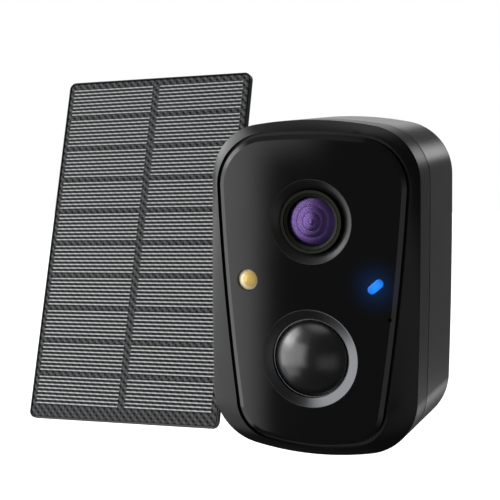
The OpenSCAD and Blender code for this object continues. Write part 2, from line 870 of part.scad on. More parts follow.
front_bezel();
front_glass();
glass_tape();
lens_trim_ring();
pir_trim_ring();
lens_barrel();
front_lens();
inner_lenses();
lens_holder();
filter_carriage();
filter_glass();
image_sensor();
main_board();
processor();
wifi_module();
wifi_antenna();
led_board();
spotlight_lens();
light_emitters();
status_light_pipe();
microphone();
pir_lens();
pir_sensor();
seal_ring();
rear_housing();
battery_cells();
battery_tray();
speaker();
usb_port();
card_slot();
memory_card();
reset_button();
power_button();
port_cover();
camera_insert();
housing_screws();
panel_sheet();
solar_cells();
panel_board();
panel_shell();
junction_box();
cable_gland();
panel_insert();
panel_screws();
wall_plate();
camera_arm();
panel_arm();
bracket_bolts();
pan_knob_camera();
pan_knob_panel();
camera_swivel();
camera_tilt_bolt();
camera_tilt_knob();
camera_head();
camera_lock_ring();
panel_swivel();
panel_tilt_bolt();
panel_tilt_knob();
panel_head();
panel_lock_ring();
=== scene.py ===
"""Solar-powered security camera: shells, glass, lens, panel and bracket, with their finishes."""

import json
import math

import bmesh
import bpy
from bpy.props import FloatProperty, FloatVectorProperty, IntProperty, PointerProperty
from bpy.types import Operator, Panel, PropertyGroup
from mathutils import Matrix, Vector

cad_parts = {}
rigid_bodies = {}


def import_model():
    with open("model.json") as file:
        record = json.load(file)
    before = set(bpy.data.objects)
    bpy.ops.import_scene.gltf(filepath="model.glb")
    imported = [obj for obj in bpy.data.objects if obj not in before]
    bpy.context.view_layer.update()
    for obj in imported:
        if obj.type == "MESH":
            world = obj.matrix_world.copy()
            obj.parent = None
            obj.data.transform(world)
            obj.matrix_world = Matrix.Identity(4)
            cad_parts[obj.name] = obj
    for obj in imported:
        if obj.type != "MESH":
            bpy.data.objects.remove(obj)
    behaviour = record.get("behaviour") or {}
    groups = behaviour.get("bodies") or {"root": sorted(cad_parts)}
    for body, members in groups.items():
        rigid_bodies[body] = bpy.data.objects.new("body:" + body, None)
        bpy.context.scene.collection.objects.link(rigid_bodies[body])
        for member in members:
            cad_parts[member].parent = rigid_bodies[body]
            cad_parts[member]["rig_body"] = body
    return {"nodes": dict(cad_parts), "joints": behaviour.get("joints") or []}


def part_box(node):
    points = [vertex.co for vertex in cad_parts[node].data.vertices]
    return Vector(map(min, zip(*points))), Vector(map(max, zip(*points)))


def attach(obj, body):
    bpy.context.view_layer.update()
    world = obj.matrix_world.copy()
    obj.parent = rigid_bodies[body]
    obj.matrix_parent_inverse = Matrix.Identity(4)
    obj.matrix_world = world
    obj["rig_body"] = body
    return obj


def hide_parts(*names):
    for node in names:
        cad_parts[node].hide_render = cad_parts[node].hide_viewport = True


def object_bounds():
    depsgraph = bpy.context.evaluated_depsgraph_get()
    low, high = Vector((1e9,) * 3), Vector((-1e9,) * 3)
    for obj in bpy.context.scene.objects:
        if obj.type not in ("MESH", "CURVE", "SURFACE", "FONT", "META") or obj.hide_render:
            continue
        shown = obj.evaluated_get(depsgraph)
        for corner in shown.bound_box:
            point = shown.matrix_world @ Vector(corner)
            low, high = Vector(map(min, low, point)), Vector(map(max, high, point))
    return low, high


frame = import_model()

bl_info = {
    "name": "Solar Security Camera",
    "version": (1, 0, 0),
    "blender": (4, 5, 0),
    "location": "View3D > Sidebar > Security Camera",
    "description": "Builds the camera, its solar panel and their bracket on the packed frame",
    "category": "Add Mesh",
}

CAD_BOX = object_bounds()
MM = 0.001


def middle(node):
    low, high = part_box(node)
    return (low + high) / 2


# The camera's own axes: its middle across and up, and the plane of its cover glass
CAMERA_LOW, CAMERA_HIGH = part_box("front_bezel")
CENTRE_X = (CAMERA_LOW.x + CAMERA_HIGH.x) / 2
GLASS_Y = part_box("front_glass")[0].y
HALF_W = (CAMERA_HIGH.x - CAMERA_LOW.x) / 2
HALF_H = (CAMERA_HIGH.z - CAMERA_LOW.z) / 2
LENS_Z = middle("lens_barrel").z / MM
PIR_Z = middle("pir_trim_ring").z / MM
SPOT_X = (middle("spotlight_lens").x - CENTRE_X) / MM
STATUS_X = (middle("status_light_pipe").x - CENTRE_X) / MM
LIGHT_Z = middle("status_light_pipe").z / MM
MIC_X = (middle("microphone").x - CENTRE_X) / MM
MIC_Z = middle("microphone").z / MM
UNIT_D = (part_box("rear_housing")[1].y - GLASS_Y) / MM
JOINTS = {joint["name"]: joint for joint in frame["joints"]}


# ------------------------------------------------------------------ shapes


def place(x, y, z):
    """A point of the camera's own axes, in millimetres from the middle of its glass."""
    return Vector((CENTRE_X + x * MM, GLASS_Y + y * MM, z * MM))


def arc(centre, radius, start, end, steps):
    """Points on an arc between two angles in degrees."""
    turns = [math.radians(start + (end - start) * i / steps) for i in range(steps + 1)]
    return [(centre[0] + radius * math.cos(t), centre[1] + radius * math.sin(t)) for t in turns]


def bulge(a, b, half, steps):
    """Points between a and b on an arc that bulges outwards by a half angle in degrees."""
    a, b = Vector(a), Vector(b)
    run = b - a
    radius = run.length / 2 / math.sin(math.radians(half))
    out = Vector((run.y, -run.x)).normalized()
    centre = (a + b) / 2 - out * radius * math.cos(math.radians(half))
    start = math.degrees(math.atan2(a.y - centre.y, a.x - centre.x))
    return arc(centre, radius, start, start + 2 * half, steps)[1:-1]


class Shield:
    """A shield outline: corner centres and radii at the top and bottom, and three bulges."""

    def __init__(self, top, bottom, r_top, r_bottom, side, crown, sole):
        self.top, self.bottom = top, bottom
        self.r_top, self.r_bottom = r_top, r_bottom
        self.side, self.crown, self.sole = side, crown, sole

    def points(self, grow=0.0):
        """The closed outline in X and Z, moved outwards by grow, in millimetres."""
        lean = math.degrees(
            math.atan2(self.bottom[0] - self.top[0], self.top[1] - self.bottom[1])
        )
        low = arc(self.bottom, self.r_bottom + grow, self.sole - 90, lean - self.side, 20)
        high = arc(self.top, self.r_top + grow, lean + self.side, 90 - self.crown, 20)
        right = low + bulge(low[-1], high[0], self.side, 12) + high
        left = [(-x, z) for x, z in reversed(right)]
        crown = bulge(high[-1], left[0], self.crown, 16)
        sole = bulge(left[-1], right[0], self.sole, 16)
        return right + crown + left + sole


BODY_TOP_R = 16.5
BODY_BOTTOM_R = 17.0
BODY = Shield(
    (HALF_W / MM - BODY_TOP_R - 0.28, HALF_H / MM - BODY_TOP_R - 1.37),
    (HALF_W / MM - BODY_BOTTOM_R - 0.28, 1.5 + BODY_BOTTOM_R - HALF_H / MM),
    BODY_TOP_R,
    BODY_BOTTOM_R,
    1.0,
    10.0,
    11.5,
)
GLASS = Shield((13.8, 30.2), (11.8, -34.35), 14.8, 10.7, 2.5, 5.8, 12.4)


def blend_outline(inner, outer, share):
    """An outline part of the way from one to another with as many points."""
    return [
        (a[0] + (b[0] - a[0]) * share, a[1] + (b[1] - a[1]) * share)
        for a, b in zip(inner, outer)
    ]


def ring(bm, outline, y, where=place):
    """A closed loop of edges at depth y."""
    verts = [bm.verts.new(where(x, y, z)) for x, z in outline]
    return [bm.edges.new(pair) for pair in zip(verts, verts[1:] + verts[:1])]


def loft(bm, stations, closed=False):
    """Skins the loops of edges one after another, and back to the first if closed."""
    loops = [ring(bm, outline, y) for outline, y in stations]
    pairs = list(zip(loops, loops[1:]))
    if closed:
        pairs.append((loops[-1], loops[0]))
    for a, b in pairs:
        for near, far in zip(a, b):
            bm.faces.new((near.verts[0], near.verts[1], far.verts[1], far.verts[0]))
    return loops


def soften(bm, edges, width, segments=4, clamp=False):
    """Rounds these edges off."""
    bmesh.ops.bevel(
        bm,
        geom=edges,
        offset=width * MM,
        segments=segments,
        profile=0.5,
        affect="EDGES",
        clamp_overlap=clamp,
        material=-1,
    )


def cap(bm, loop):
    """Closes a loop of edges with one face."""
    bmesh.ops.contextual_create(bm, geom=loop)


def turned(profile, x, z, steps=96):
    """Spins a profile of (radius, y) pairs about the camera's depth axis at x, z."""
    bm = bmesh.new()
    verts = [bm.verts.new(place(x + r, y, z)) for r, y in profile]
    edges = [bm.edges.new(pair) for pair in zip(verts, verts[1:])]
    bmesh.ops.spin(
        bm,
        geom=verts + edges,
        cent=place(x, 0, z),
        axis=(0, 1, 0),
        angle=math.tau,
        steps=steps,
        use_merge=True,
    )
    bmesh.ops.remove_doubles(bm, verts=bm.verts, dist=0.001 * MM)
    return bm


def circle(x, z, radius, steps=96):
    """A round outline."""
    return arc((x, z), radius, 0, 360, steps)[:-1]


def pill(x, z, length, width, tilt):
    """An outline with two round ends, tilted in degrees."""
    half = (length - width) / 2
    ends = arc((half, 0), width / 2, -90, 90, 16) + arc((-half, 0), width / 2, 90, 270, 16)
    c, s = math.cos(math.radians(tilt)), math.sin(math.radians(tilt))
    return [(x + c * u - s * v, z + s * u + c * v) for u, v in ends]


def dome_profile(rim, height, top, steps, thin=0.0):
    """A dome's (radius, y) pairs from its top to its rim, or those of a shell inside it."""
    radius = (rim**2 + height**2) / 2 / height
    reach = math.asin(rim / radius)
    turns = [reach * i / steps for i in range(steps + 1)]
    return [
        ((radius - thin) * math.sin(t), top + radius - (radius - thin) * math.cos(t))
        for t in turns
    ]


def fill(bm, loops, front):
    """Fills an outline around its holes; front says which way it faces."""
    bmesh.ops.triangle_fill(
        bm,
        edges=[edge for loop in loops for edge in loop],
        normal=(0, -1, 0) if front else (0, 1, 0),
        use_beauty=True,
        use_dissolve=False,
    )


def as_object(name, bm):
    """Ends a bmesh as a new object in the scene."""
    mesh = bpy.data.meshes.new(name)
    bm.to_mesh(mesh)
    bm.free()
    obj = bpy.data.objects.new(name, mesh)
    bpy.context.scene.collection.objects.link(obj)
    return obj


def carve(bm, tool, operation="DIFFERENCE"):
    """Cuts a closed shape out of another, or joins it on, and returns the result."""
    for part in (bm, tool):
        bmesh.ops.recalc_face_normals(part, faces=part.faces)
    target, cutter = as_object("carved", bm), as_object("tool", tool)
    cut = target.modifiers.new("Carve", "BOOLEAN")
    cut.object = cutter
    cut.operation = operation
    cut.solver = "EXACT"
    cut.use_self = True
    made = target.evaluated_get(bpy.context.evaluated_depsgraph_get())
    result = bmesh.new()
    result.from_mesh(made.data)
    for obj in (target, cutter):
        mesh = obj.data
        bpy.data.objects.remove(obj)
        bpy.data.meshes.remove(mesh)
    return result


def add_block(bm, low, high):
    """A closed box between two corners of the camera's axes, in millimetres."""
    low, high = place(*low), place(*high)
    size = high - low
    bmesh.ops.create_cube(
        bm, size=1.0, matrix=Matrix.Translation((low + high) / 2) @ Matrix.Diagonal((*size, 1.0))
    )


def add_rod(bm, start, end, radius, steps=48):
    """A closed rod from one point to another of the camera's axes, in millimetres."""
    start, end = place(*start), place(*end)
    run = end - start
    turn = run.to_track_quat("Z", "Y").to_matrix().to_4x4()
    bmesh.ops.create_cone(
        bm,
        cap_ends=True,
        segments=steps,
        radius1=radius * MM,
        radius2=radius * MM,
        depth=run.length,
        matrix=Matrix.Translation((start + end) / 2) @ turn,
    )


def piece(name, bm, material, cad, body="camera", sharp=35.0):
    """Makes the finished object: normals outwards, smooth up to an angle, on its body."""
    bmesh.ops.recalc_face_normals(bm, faces=bm.faces)
    obj = as_object(name, bm)
    obj.data.materials.append(material)
    obj.data.shade_smooth()
    obj.data.set_sharp_from_angle(angle=math.radians(sharp))
    weighted = obj.modifiers.new("Weighted normals", "WEIGHTED_NORMAL")
    weighted.keep_sharp = True
    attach(obj, body)
    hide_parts(cad)


def eased_copy(node_name, width, material):
    """A CAD node's shape again, with its edges eased as a moulding's or a forging's are."""
    source = frame["nodes"][node_name]
    sharp = 32.0
    bm = bmesh.new()
    bm.from_mesh(source.data)
    bmesh.ops.remove_doubles(bm, verts=bm.verts, dist=0.002 * MM)
    bmesh.ops.dissolve_limit(
        bm,
        angle_limit=math.radians(0.6),
        verts=bm.verts,
        edges=bm.edges,
        use_dissolve_boundaries=False,
    )
    edges = [
        edge
        for edge in bm.edges
        if edge.is_manifold and edge.calc_face_angle(0.0) > math.radians(sharp)
    ]
    soften(bm, edges, width, 2, clamp=True)
    piece(node_name + "_eased", bm, material, node_name, source["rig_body"], sharp)


# ------------------------------------------------------------------ the panel's own axes

PANEL_FRONT = 25.0  # from the panel's level axis forward to its front plane
PANEL_STUD_UP = 7.6  # the stud is this far above the middle of the panel
PANEL_TURN = math.radians(3.2)  # how far the panel is turned about its stud at rest
PANEL_W, PANEL_H = 77.6, 130.0
PANEL_PIVOT = Vector(JOINTS["panel_tilt"]["pos_m"])
PANEL_LEVEL = Vector(JOINTS["panel_tilt"]["axis"]).normalized()
PANEL_IN = Vector(JOINTS["panel_turn"]["axis"]).normalized()
PANEL_RISE = PANEL_LEVEL.cross(PANEL_IN)
PANEL_RIGHT = PANEL_LEVEL * math.cos(PANEL_TURN) + PANEL_RISE * math.sin(PANEL_TURN)
PANEL_UP = PANEL_RISE * math.cos(PANEL_TURN) - PANEL_LEVEL * math.sin(PANEL_TURN)


def panel_place(u, y, v):
    """A point of the panel's axes, in millimetres from the middle of its front plane."""
    across = PANEL_RIGHT * u
    inward = PANEL_IN * (y - PANEL_FRONT)
    upward = PANEL_UP * (v - PANEL_STUD_UP)
    return PANEL_PIVOT + (across + inward + upward) * MM


def rounded_outline(width, height, radius):
    """A rectangle with round corners."""
    x, z = width / 2 - radius, height / 2 - radius
    corners = ((x, z, 0), (-x, z, 90), (-x, -z, 180), (x, -z, 270))
    return [p for cx, cz, a in corners for p in arc((cx, cz), radius, a, a + 90, 8)]


# ------------------------------------------------------------------ finishes


def linear(code):
    """An sRGB hex colour as linear RGBA."""
    parts = [int(code[i : i + 2], 16) / 255 for i in (1, 3, 5)]
    values = [c / 12.92 if c <= 0.04045 else ((c + 0.055) / 1.055) ** 2.4 for c in parts]
    return tuple(values) + (1.0,)


def node(tree, kind, inputs=None, **settings):
    """Adds a node with its settings, and fills its sockets with values or links."""
    made = tree.nodes.new("ShaderNode" + kind)
    for name, value in settings.items():
        setattr(made, name, value)
    for key, value in (inputs or {}).items():
        if isinstance(value, bpy.types.NodeSocket):
            tree.links.new(value, made.inputs[key])
        else:
            made.inputs[key].default_value = value
    return made


def finish(name, **sockets):
    """A new material and its Principled shader, with constants set on the shader's sockets."""
    material = bpy.data.materials.new(name)
    material.use_nodes = True
    shader = material.node_tree.nodes["Principled BSDF"]
    for key, value in sockets.items():
        shader.inputs[key.replace("_", " ")].default_value = value
    return material, material.node_tree, shader


def noise(tree, size_mm, detail):
    """An uneven pattern of a real size on the piece's own coordinates."""
    place_at = node(tree, "TexCoord")
    cloud = node(
        tree,
        "TexNoise",
        {"Vector": place_at.outputs["Object"], "Scale": 1 / (size_mm * MM), "Detail": detail},
    )
    return cloud.outputs["Fac"]


def relief(tree, shader, height, depth_mm):
    """A pattern as bump of a real depth."""
    bump = node(tree, "Bump", {"Height": height, "Distance": depth_mm * MM})
    tree.links.new(bump.outputs["Normal"], shader.inputs["Normal"])


def uneven_roughness(tree, shader, size_mm, low, high):
    """Roughness that wanders a little, as handling and moulding leave it."""
    limits = {"From Min": 0.3, "From Max": 0.7, "To Min": low, "To Max": high}
    spread = node(tree, "MapRange", {"Value": noise(tree, size_mm, 2.0), **limits})
    tree.links.new(spread.outputs["Result"], shader.inputs["Roughness"])


def grained(name, grain_mm, depth_mm, cloud_mm, low, high, **sockets):
    """A finish with a fine moulded or blasted grain and roughness that wanders."""
    material, tree, shader = finish(name, **sockets)
    relief(tree, shader, noise(tree, grain_mm, 3.0), depth_mm)
    uneven_roughness(tree, shader, cloud_mm, low, high)
    return material


def by_distance(tree, centre, near, far, at_near=0.0, at_far=1.0):
    """A value that runs from one to another between two distances from a point."""
    place_at = node(tree, "TexCoord")
    reach = node(
        tree, "VectorMath", {0: place_at.outputs["Object"], 1: centre}, operation="DISTANCE"
    )
    limits = {"From Min": near, "From Max": far, "To Min": at_near, "To Max": at_far}
    share = node(tree, "MapRange", {"Value": reach.outputs["Value"], **limits})
    return share.outputs["Result"]


def radial_colours(tree, shader, centre, stops):
    """Base colour by distance from a centre: stops of (millimetres, sRGB hex)."""
    last = stops[-1][0]
    ramp = node(tree, "ValToRGB", {"Fac": by_distance(tree, centre, 0.0, last * MM)})
    ramp.color_ramp.interpolation = "EASE"
    elements = ramp.color_ramp.elements
    while len(elements) < len(stops):
        elements.new(0.5)
    for element, (distance, code) in zip(elements, stops):
        element.position = distance / last
        element.color = linear(code)
    tree.links.new(ramp.outputs["Color"], shader.inputs["Base Color"])


def satin_abs(colour, name="Satin black ABS", rough=0.24, ior=1.54):
    # Injection-moulded ABS with a fine polished skin: deep black with soft-edged highlights
    low, high = rough * 0.92, rough * 1.08
    return grained(name, 0.22, 0.002, 14, low, high, Base_Color=tuple(colour), IOR=ior)


def glass_filled_nylon():
    # Glass-filled nylon of a load-bearing bracket: coarser moulded grain, duller than the housing
    colour = linear("#1B1B1C")
    return grained("Glass-filled nylon", 0.45, 0.012, 9, 0.5, 0.6, Base_Color=colour, IOR=1.53)


def silicone_rubber():
    # Moulded silicone: matt, slightly dusty black with a faint sheen at grazing angles
    sockets = {"Base_Color": linear("#141414"), "IOR": 1.42, "Sheen_Weight": 0.15}
    return grained("Moulded silicone rubber", 0.3, 0.006, 6, 0.62, 0.75, **sockets)


def moulded(name, code, rough, ior=1.5):
    # A plain moulded or coated part inside the housing: even colour with a little grain
    low, high = rough * 0.9, rough * 1.1
    return grained(name, 0.3, 0.004, 8, low, high, Base_Color=linear(code), IOR=ior)


def plated(name, code, rough):
    # Plated or turned metal: a tight grain that spreads the highlight
    low, high = rough * 0.85, rough * 1.15
    return grained(name, 0.25, 0.002, 5, low, high, Base_Color=linear(code), Metallic=1.0)


def ringed(name, code, rough, centre_z, spacing_mm, metallic=1.0):
    # A lathe-turned or ring-brushed part: concentric marks that draw the highlight out sideways
    material, tree, shader = finish(name, Base_Color=linear(code), Metallic=metallic)
    place_at = node(tree, "TexCoord")
    shift = {"Vector": place_at.outputs["Object"], "Location": -place(0, 0, centre_z)}
    centred = node(tree, "Mapping", shift)
    marks = node(
        tree,
        "TexWave",
        {"Vector": centred.outputs["Vector"], "Scale": 0.31 / (spacing_mm * MM)},
        wave_type="RINGS",
        rings_direction="Y",
    )
    relief(tree, shader, marks.outputs["Fac"], 0.002)
    uneven_roughness(tree, shader, 6, rough * 0.9, rough * 1.1)
    return material


def cover_glass(colours):
    # Float glass printed black behind: mirror-smooth, with a painted blue glow (emission) around
    # the status light that stands in for its spilled light
    material, tree, shader = finish(
        "Black-backed cover glass",
        Base_Color=tuple(colours.glass),
        IOR=1.5,
        Emission_Color=tuple(colours.status_glow),
    )
    uneven_roughness(tree, shader, 25, 0.03, 0.06)
    # painted glow: emission in the glass, strongest next to the status light and fading out with
    # distance
    near = by_distance(tree, place(STATUS_X, 0, LIGHT_Z), 1.0 * MM, colours.painted_glow_reach, 1.0, 0.0)
    painted_glow = node(tree, "Math", {0: near, 1: 2.6}, operation="POWER")
    level = node(tree, "Math", {0: painted_glow.outputs["Value"], 1: 0.06}, operation="MULTIPLY")
    tree.links.new(level.outputs["Value"], shader.inputs["Emission Strength"])
    return material


def coated_lens(colours):
    # Multi-coated optical glass over a black barrel: violet reflections on a navy depth; the base
    # colour is painted lighter at the centre, a painted highlight, and darker towards the rim
    material, tree, shader = finish(
        "Multi-coated lens glass",
        Roughness=0.3,
        IOR=3.0,
        Specular_Tint=tuple(colours.lens_coating),
    )
    # painted highlight: base colour pale at the lens's middle, darkening to navy at its rim
    stops = [(0.0, "#6A4A70"), (1.6, "#3A2A4C"), (3.2, "#201B34"), (7.5, "#151228")]
    radial_colours(tree, shader, place(0, 3, LENS_Z), stops)
    return material


def clear_element():
    # Polished glass with an anti-reflection coating: all but invisible, with a faint violet glint
    material, tree, shader = finish(
        "Polished front element", Base_Color=linear("#3A2A5A"), IOR=1.5, Alpha=0.1
    )
    uneven_roughness(tree, shader, 3, 0.02, 0.05)
    return material


def smoked_dome(colours):
    # Smoked polyethylene dome: glossy outside, with the faint facets of the lens array inside it
    material, tree, shader = finish(
        "Smoked motion-sensor dome",
        Base_Color=tuple(colours.dome),
        IOR=1.52,
        Coat_Weight=0.7,
        Coat_Roughness=0.24,
    )
    place_at = node(tree, "TexCoord")
    facets = node(
        tree,
        "TexVoronoi",
        {"Vector": place_at.outputs["Object"], "Scale": 1 / (2.4 * MM), "Randomness": 0.15},
    )
    relief(tree, shader, facets.outputs["Distance"], 0.03)
    uneven_roughness(tree, shader, 8, 0.26, 0.32)
    return material


def phosphor_dome():
    # Clear silicone dome over a yellow phosphor: amber at the heart, milky towards the rim, with a
    # faint even emission over it, a painted glow that brightens the dome
    material, tree, shader = finish(
        "Spotlight silicone dome",
        Roughness=0.12,
        IOR=1.41,
        Coat_Weight=1.0,
        Coat_Roughness=0.05,
        # painted glow: a faint even emission that lifts the dome's brightness
        Emission_Color=linear("#FFE9A8"),
        Emission_Strength=0.16,
    )
    heart = place(SPOT_X + 0.7, 0.6, LIGHT_Z + 0.2)
    yellows = [(0.0, "#FFF08A"), (0.9, "#FFD43E"), (1.9, "#EEC45C")]
    stops = yellows + [(2.7, "#FFF6D8"), (4.2, "#FFFDF2")]
    radial_colours(tree, shader, heart, stops)
    return material


def status_glow(colours):
    # Lit light pipe: saturated blue, brightest along its middle
    material, tree, shader = finish(
        "Lit status light pipe",
        Base_Color=linear("#123A78"),
        Roughness=0.15,
        IOR=1.49,
        Emission_Color=tuple(colours.status_glow),
    )
    level = by_distance(tree, place(STATUS_X, 0, LIGHT_Z), 0.4 * MM, 3.0 * MM, 1.15, 0.5)
    tree.links.new(level, shader.inputs["Emission Strength"])
    return material


def all_of(tree, masks):
    """1 where every one of these masks is 1."""
    share = masks[0]
    for mask in masks[1:]:
        share = node(tree, "Math", {0: share, 1: mask}, operation="MULTIPLY").outputs[0]
    return share


def band(tree, value, pitch, start, end):
    """1 where a coordinate, taken modulo a pitch, lies between start and end."""
    turn = node(tree, "Math", {0: value, 1: pitch}, operation="FLOORED_MODULO").outputs[0]
    above = node(tree, "Math", {0: turn, 1: start}, operation="GREATER_THAN")
    below = node(tree, "Math", {0: turn, 1: end}, operation="LESS_THAN")
    return all_of(tree, (above.outputs[0], below.outputs[0]))


def solar_film(cells):
    # Textured fluoropolymer film laminated over dark cells: a dimpled weave that scatters light,
    # its hollows painted darker as painted shade, silver contact fingers printed across every cell,
    # bare weave in the margins
    material, tree, shader = finish("Laminated solar film", IOR=1.25)
    uv = node(tree, "UVMap", uv_map="PanelMillimetres")
    axes = node(tree, "SeparateXYZ", {"Vector": uv.outputs["UV"]})
    u, v = axes.outputs["X"], axes.outputs["Y"]

    cell_w = (PANEL_W - cells.margin_left - cells.margin_right - cells.middle_gap) / 2
    cell_h = (PANEL_H - cells.margin_top - cells.margin_bottom - 9 * cells.row_gap) / 10
    column = cell_w + cells.middle_gap
    row = cell_h + cells.row_gap
    finger = cell_h / cells.fingers

    left, foot = cells.margin_left - PANEL_W / 2, cells.margin_bottom - PANEL_H / 2
    from_left = node(tree, "Math", {0: u, 1: left}, operation="SUBTRACT").outputs[0]
    from_foot = node(tree, "Math", {0: v, 1: foot}, operation="SUBTRACT").outputs[0]
    whole = 1000.0  # a pitch longer than the panel, so the band comes once
    in_cell = all_of(
        tree,
        (
            band(tree, from_left, column, 0.0, cell_w),
            band(tree, from_left, whole, 0.0, column + cell_w),
            band(tree, from_foot, row, 0.0, cell_h),
            band(tree, from_foot, whole, 0.0, 9 * row + cell_h),
        ),
    )
    up_the_cell = node(tree, "Math", {0: from_foot, 1: row}, operation="FLOORED_MODULO")
    start = (1 - cells.finger_share) / 2 * finger
    end = start + cells.finger_share * finger
    in_finger = all_of(tree, (in_cell, band(tree, up_the_cell.outputs[0], finger, start, end)))

    # the weave: two families of sloping ridges, one dimple to each finger
    waves = []
    for slope in (1, -1):
        leaning = node(tree, "Math", {0: v, 1: slope * cells.dimple / finger}, operation="MULTIPLY")
        along = node(tree, "Math", {0: u, 1: leaning.outputs[0]}, operation="ADD").outputs[0]
        phase = node(tree, "Math", {0: along, 1: math.pi / cells.dimple}, operation="MULTIPLY")
        waves.append(node(tree, "Math", {0: phase.outputs[0]}, operation="SINE").outputs[0])
    crossing = {0: waves[0], 1: waves[1], 2: waves[0]}
    crossed = node(tree, "Math", crossing, operation="MULTIPLY_ADD").outputs[0]
    limits = {"From Min": -0.6, "From Max": 0.6}
    weave = node(tree, "MapRange", {"Value": crossed, **limits}).outputs["Result"]

    # each surface runs from a painted shade in its hollows to its own colour on its ridges, and
    # masks choose between them
    shades = []
    # painted shade: the darker colour of each pair goes into the weave's hollows
    for hollow_shade, ridge in (
        ("#020203", cells.cell_colour),
        ("#0B0B0C", cells.weave_colour),
        ("#B4B5B6", cells.finger_colour),
    ):
        mixed = {"Factor": weave, "A": linear(hollow_shade), "B": tuple(ridge)}
        shades.append(node(tree, "Mix", mixed, data_type="RGBA").outputs["Result"])
    dark, bare, silver = shades
    ground = node(tree, "Mix", {"Factor": in_cell, "A": bare, "B": dark}, data_type="RGBA")
    chosen = {"Factor": in_finger, "A": ground.outputs["Result"], "B": silver}
    face = node(tree, "Mix", chosen, data_type="RGBA")
    tree.links.new(face.outputs["Result"], shader.inputs["Base Color"])
    rough = node(tree, "MapRange", {"Value": weave, "To Min": 0.5, "To Max": 0.38})
    tree.links.new(rough.outputs["Result"], shader.inputs["Roughness"])
    bump = node(tree, "Bump", {"Height": weave, "Distance": 0.08 * MM, "Strength": 0.6})
    tree.links.new(bump.outputs["Normal"], shader.inputs["Normal"])
    return material


def circuit_board():
    # Solder-masked FR4: dark green lacquer over raised copper tracks
    material, tree, shader = finish("Solder-masked FR4", Roughness=0.3, IOR=1.55)
    place_at = node(tree, "TexCoord")
    facing = {"Vector": place_at.outputs["Object"], "Rotation": (math.pi / 2, 0, 0)}
    upright = node(tree, "Mapping", facing)
    tracks = node(
        tree,
        "TexBrick",
        {
            "Vector": upright.outputs["Vector"],
            "Color1": linear("#12402A"),
            "Color2": linear("#17482F"),
            "Mortar": linear("#1F6A40"),
            "Scale": 1 / (2.5 * MM),
            "Mortar Size": 0.04,
        },
    )
    tree.links.new(tracks.outputs["Color"], shader.inputs["Base Color"])
    relief(tree, shader, tracks.outputs["Fac"], 0.03)
    return material


# ------------------------------------------------------------------ settings


def colour_setting(name, description, code):
    return FloatVectorProperty(
        name=name,
        description=description,
        subtype="COLOR",
        size=4,
        min=0,
        max=1,
        default=linear(code),
    )


def length_setting(name, description, default, low=-1.0, high=1.0):
    return FloatProperty(
        name=name, description=description, default=default, min=low, max=high, unit="LENGTH"
    )


def angle_setting(name, description, degrees):
    return FloatProperty(
        name=name, description=description, default=math.radians(degrees), subtype="ANGLE"
    )


def printed_size(name, description, default, low, high):
    return FloatProperty(
        name=name, description=description + ", mm", default=default, min=low, max=high
    )


class CameraColours(PropertyGroup):
    """Colours of the camera's front."""

    housing: colour_setting("Housing", "Colour of the moulded shells", "#17181A")
    bezel: colour_setting("Bezel", "Colour of the front bezel", "#0C0D0E")
    glass: colour_setting("Glass", "Print behind the cover glass", "#101011")
    lens_coating: colour_setting("Lens coating", "Tint of the lens's reflections", "#C295FF")
    dome: colour_setting("Dome", "Smoked plastic of the motion sensor", "#202022")
    status_glow: colour_setting("Status light", "Colour of the lit status light", "#1E86FF")
    # how far the painted glow of the status light reaches in the cover glass
    painted_glow_reach: length_setting(
        "Glow reach", "How far the status light shows in the glass", 0.011, 0.004, 0.02
    )


class ShellEdges(PropertyGroup):
    """Edge sizes of the shells and the bracket."""

    rear_round: length_setting(
        "Rear rounding", "Rounding of the housing's back edge", 0.007, 0.003, 0.009
    )
    bracket_edge: length_setting(
        "Bracket edge", "Rounding of the bracket's moulded edges", 0.0004, 0.0001, 0.0008
    )


class SolarCells(PropertyGroup):
    """The printed face of the solar panel, in millimetres."""

    margin_left: printed_size("Left margin", "Bare film", 2.4, 1, 6)
    margin_right: printed_size("Right margin", "Bare film", 2.9, 1, 6)
    margin_top: printed_size("Top margin", "Bare film", 2.7, 1, 8)
    margin_bottom: printed_size("Bottom margin", "Bare film", 5, 1, 8)
    middle_gap: printed_size("Middle gap", "Between the columns", 3, 1, 6)
    row_gap: printed_size("Row gap", "Between the rows", 1.3, 0.2, 2)
    dimple: printed_size("Dimple", "Pitch of the weave", 1.4, 0.6, 3)
    fingers: IntProperty(
        name="Fingers", description="Contact fingers on a cell", default=8, min=4, max=12
    )
    finger_share: FloatProperty(
        name="Finger share",
        description="Part of the finger pitch that is silver",
        default=0.32,
        min=0.2,
        max=0.6,
        subtype="FACTOR",
    )
    finger_colour: colour_setting("Fingers", "Silver contact fingers", "#E0E1E2")
    cell_colour: colour_setting("Cells", "Silicon seen through the film", "#38393E")
    weave_colour: colour_setting("Weave", "Bare film in the margins", "#5E5F61")


class StudioSettings(PropertyGroup):
    """The view and the light."""

    distance: length_setting("Distance", "From the aim point to the lens", 0.3945)
    azimuth: angle_setting("Azimuth", "How far right of the front the view stands", 21.145)
    elevation: angle_setting("Elevation", "View's height angle", 7.266)
    roll: angle_setting("Roll", "Turn about the view axis", -0.129)
    aim_left: length_setting("Aim left", "Aim point, left of the camera's middle", 0.01765)
    aim_up: length_setting("Aim up", "Aim point, above the camera's middle", 0.012)
    focal: FloatProperty(
        name="Focal length", description="Lens, in mm on a 36 mm sensor", default=96.66
    )
    floor_drop: length_setting("Floor drop", "From the lowest point to the floor", 0.16)


class CameraModel(PropertyGroup):
    """All settings of the model."""

    colours: PointerProperty(type=CameraColours)
    edges: PointerProperty(type=ShellEdges)
    cells: PointerProperty(type=SolarCells)
    studio: PointerProperty(type=StudioSettings)


# ------------------------------------------------------------------ pieces

